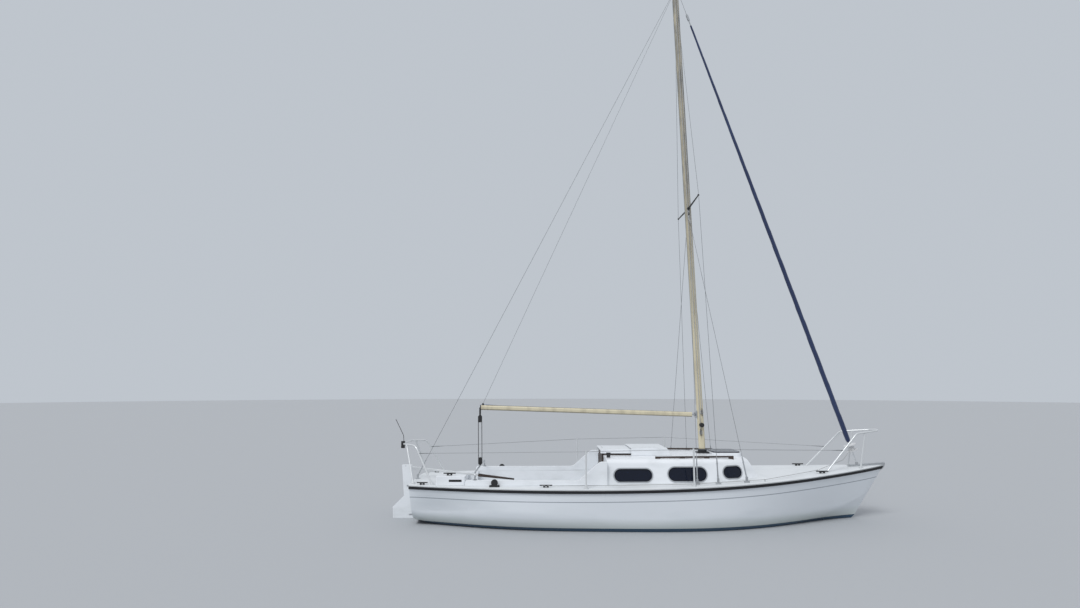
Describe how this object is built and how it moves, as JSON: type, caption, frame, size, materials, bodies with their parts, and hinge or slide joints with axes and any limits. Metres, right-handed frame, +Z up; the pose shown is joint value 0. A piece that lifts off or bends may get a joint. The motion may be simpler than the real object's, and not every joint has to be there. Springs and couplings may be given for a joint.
{
  "type": "sailboat",
  "caption": "Small cruising sloop with raised cabin, open cockpit, fin keel, tiller and transom-hung rudder, alloy mast, bare boom and rolled headsail.",
  "frame": {"origin": "on the waterline, amidships on the centreline", "axes": "+X forward to the bow, +Y to port, +Z up"},
  "size_m": [7.3371, 2.3874, 9.3837],
  "materials": {
    "gelcoat": "gloss white moulding, lightly weathered",
    "hull_white": "gloss white topsides with dull antifouling below the water",
    "strake_black": "black rubbing strake",
    "keel_iron": "painted cast iron",
    "tinted_pane": "dark tinted acrylic",
    "frame_grey": "satin frame",
    "teak": "oiled teak, darkened",
    "spar_gold": "weathered pale gold anodising",
    "spar_black": "black coating",
    "stainless": "stainless steel",
    "rail_white": "white plastic-coated steel",
    "sail_blue": "navy sailcloth",
    "black_plastic": "black plastic",
    "drum_white": "off-white plastic",
    "rudder_white": "white moulding"
  },
  "bodies": {
    "boat": {"backstay": "stainless", "cabin_moulding": "gelcoat", "chainplates": "stainless", "cleats": "black_plastic", "coachroof": "gelcoat", "cockpit": "gelcoat", "cockpit_coamings": "gelcoat", "deck": "gelcoat", "fore_hatch_coaming": "gelcoat", "forestay": "stainless", "forestay_link": "stainless", "gooseneck": "stainless", "grab_rails": "teak", "gudgeons": "stainless", "hatch_runners": "teak", "hull": "hull_white", "keel": "keel_iron", "mast": "spar_gold", "mast_step": "spar_black", "mast_winch": "black_plastic", "masthead": "stainless", "pulpit": "rail_white", "pushpit": "rail_white", "quarter_blocks": "black_plastic", "quarter_locker": "gelcoat", "rigging_screws": "stainless", "roof_winches": "black_plastic", "rubbing_strake": "strake_black", "sea_hood": "gelcoat", "sheet_block_lower": "black_plastic", "sheet_horse": "stainless", "shrouds": "stainless", "spreader_sockets": "spar_black", "spreaders": "spar_black", "stanchions": "rail_white", "stemhead": "stainless", "washboard_guides": "teak", "washboards": "teak", "whip_rod": "black_plastic", "window_frames_port": "frame_grey", "window_frames_starboard": "frame_grey", "window_panes_port": "tinted_pane", "window_panes_starboard": "tinted_pane"},
    "boom_spar": {"boom": "spar_gold", "boom_tongue": "stainless", "boom_end": "spar_black", "topping_lift": "stainless", "sheet_block_upper": "black_plastic"},
    "rudder_and_tiller": {"rudder": "rudder_white", "pintles": "stainless", "tiller_arm": "rail_white", "tiller": "teak"},
    "furler": {"furler_drum": "drum_white", "furled_sail": "sail_blue", "headfoil": "stainless", "halyard_swivel": "stainless"},
    "main_hatch": {"sliding_hatch": "gelcoat"},
    "forward_hatch": {"fore_hatch": "tinted_pane"},
    "port_locker": {"locker_lid_port": "gelcoat"},
    "starboard_locker": {"locker_lid_starboard": "gelcoat"}
  },
  "joints": [
    {"name": "rudder_turn", "type": "hinge", "parent": "boat", "child": "rudder_and_tiller", "pos_m": [-3.46922, 0, 0.3], "axis": [-0.1002, 0, 0.995], "range_deg": [-30, 30]},
    {"name": "boom_swing", "type": "hinge", "parent": "boat", "child": "boom_spar", "pos_m": [0.7188, 0, 1.51], "axis": [-0.0312, 0, 0.9995], "range_deg": [-70, 70]},
    {"name": "furler_spin", "type": "hinge", "parent": "boat", "child": "furler", "pos_m": [3.0625, 0, 0.975], "axis": [-0.3139, 0, 0.9495], "continuous": true},
    {"name": "main_hatch_slide", "type": "slide", "parent": "boat", "child": "main_hatch", "axis": [1, 0, 0], "range_m": [0, 0.45]},
    {"name": "fore_hatch_lift", "type": "hinge", "parent": "boat", "child": "forward_hatch", "pos_m": [1.327, 0, 0.9723], "axis": [0, 1, 0], "range_deg": [0, 100]},
    {"name": "port_locker_lift", "type": "hinge", "parent": "boat", "child": "port_locker", "pos_m": [-1.62, 0.739, 0.4143], "axis": [-1, 0, 0], "range_deg": [0, 95]},
    {"name": "starboard_locker_lift", "type": "hinge", "parent": "boat", "child": "starboard_locker", "pos_m": [-1.62, -0.739, 0.4143], "axis": [1, 0, 0], "range_deg": [0, 95]}
  ]
}
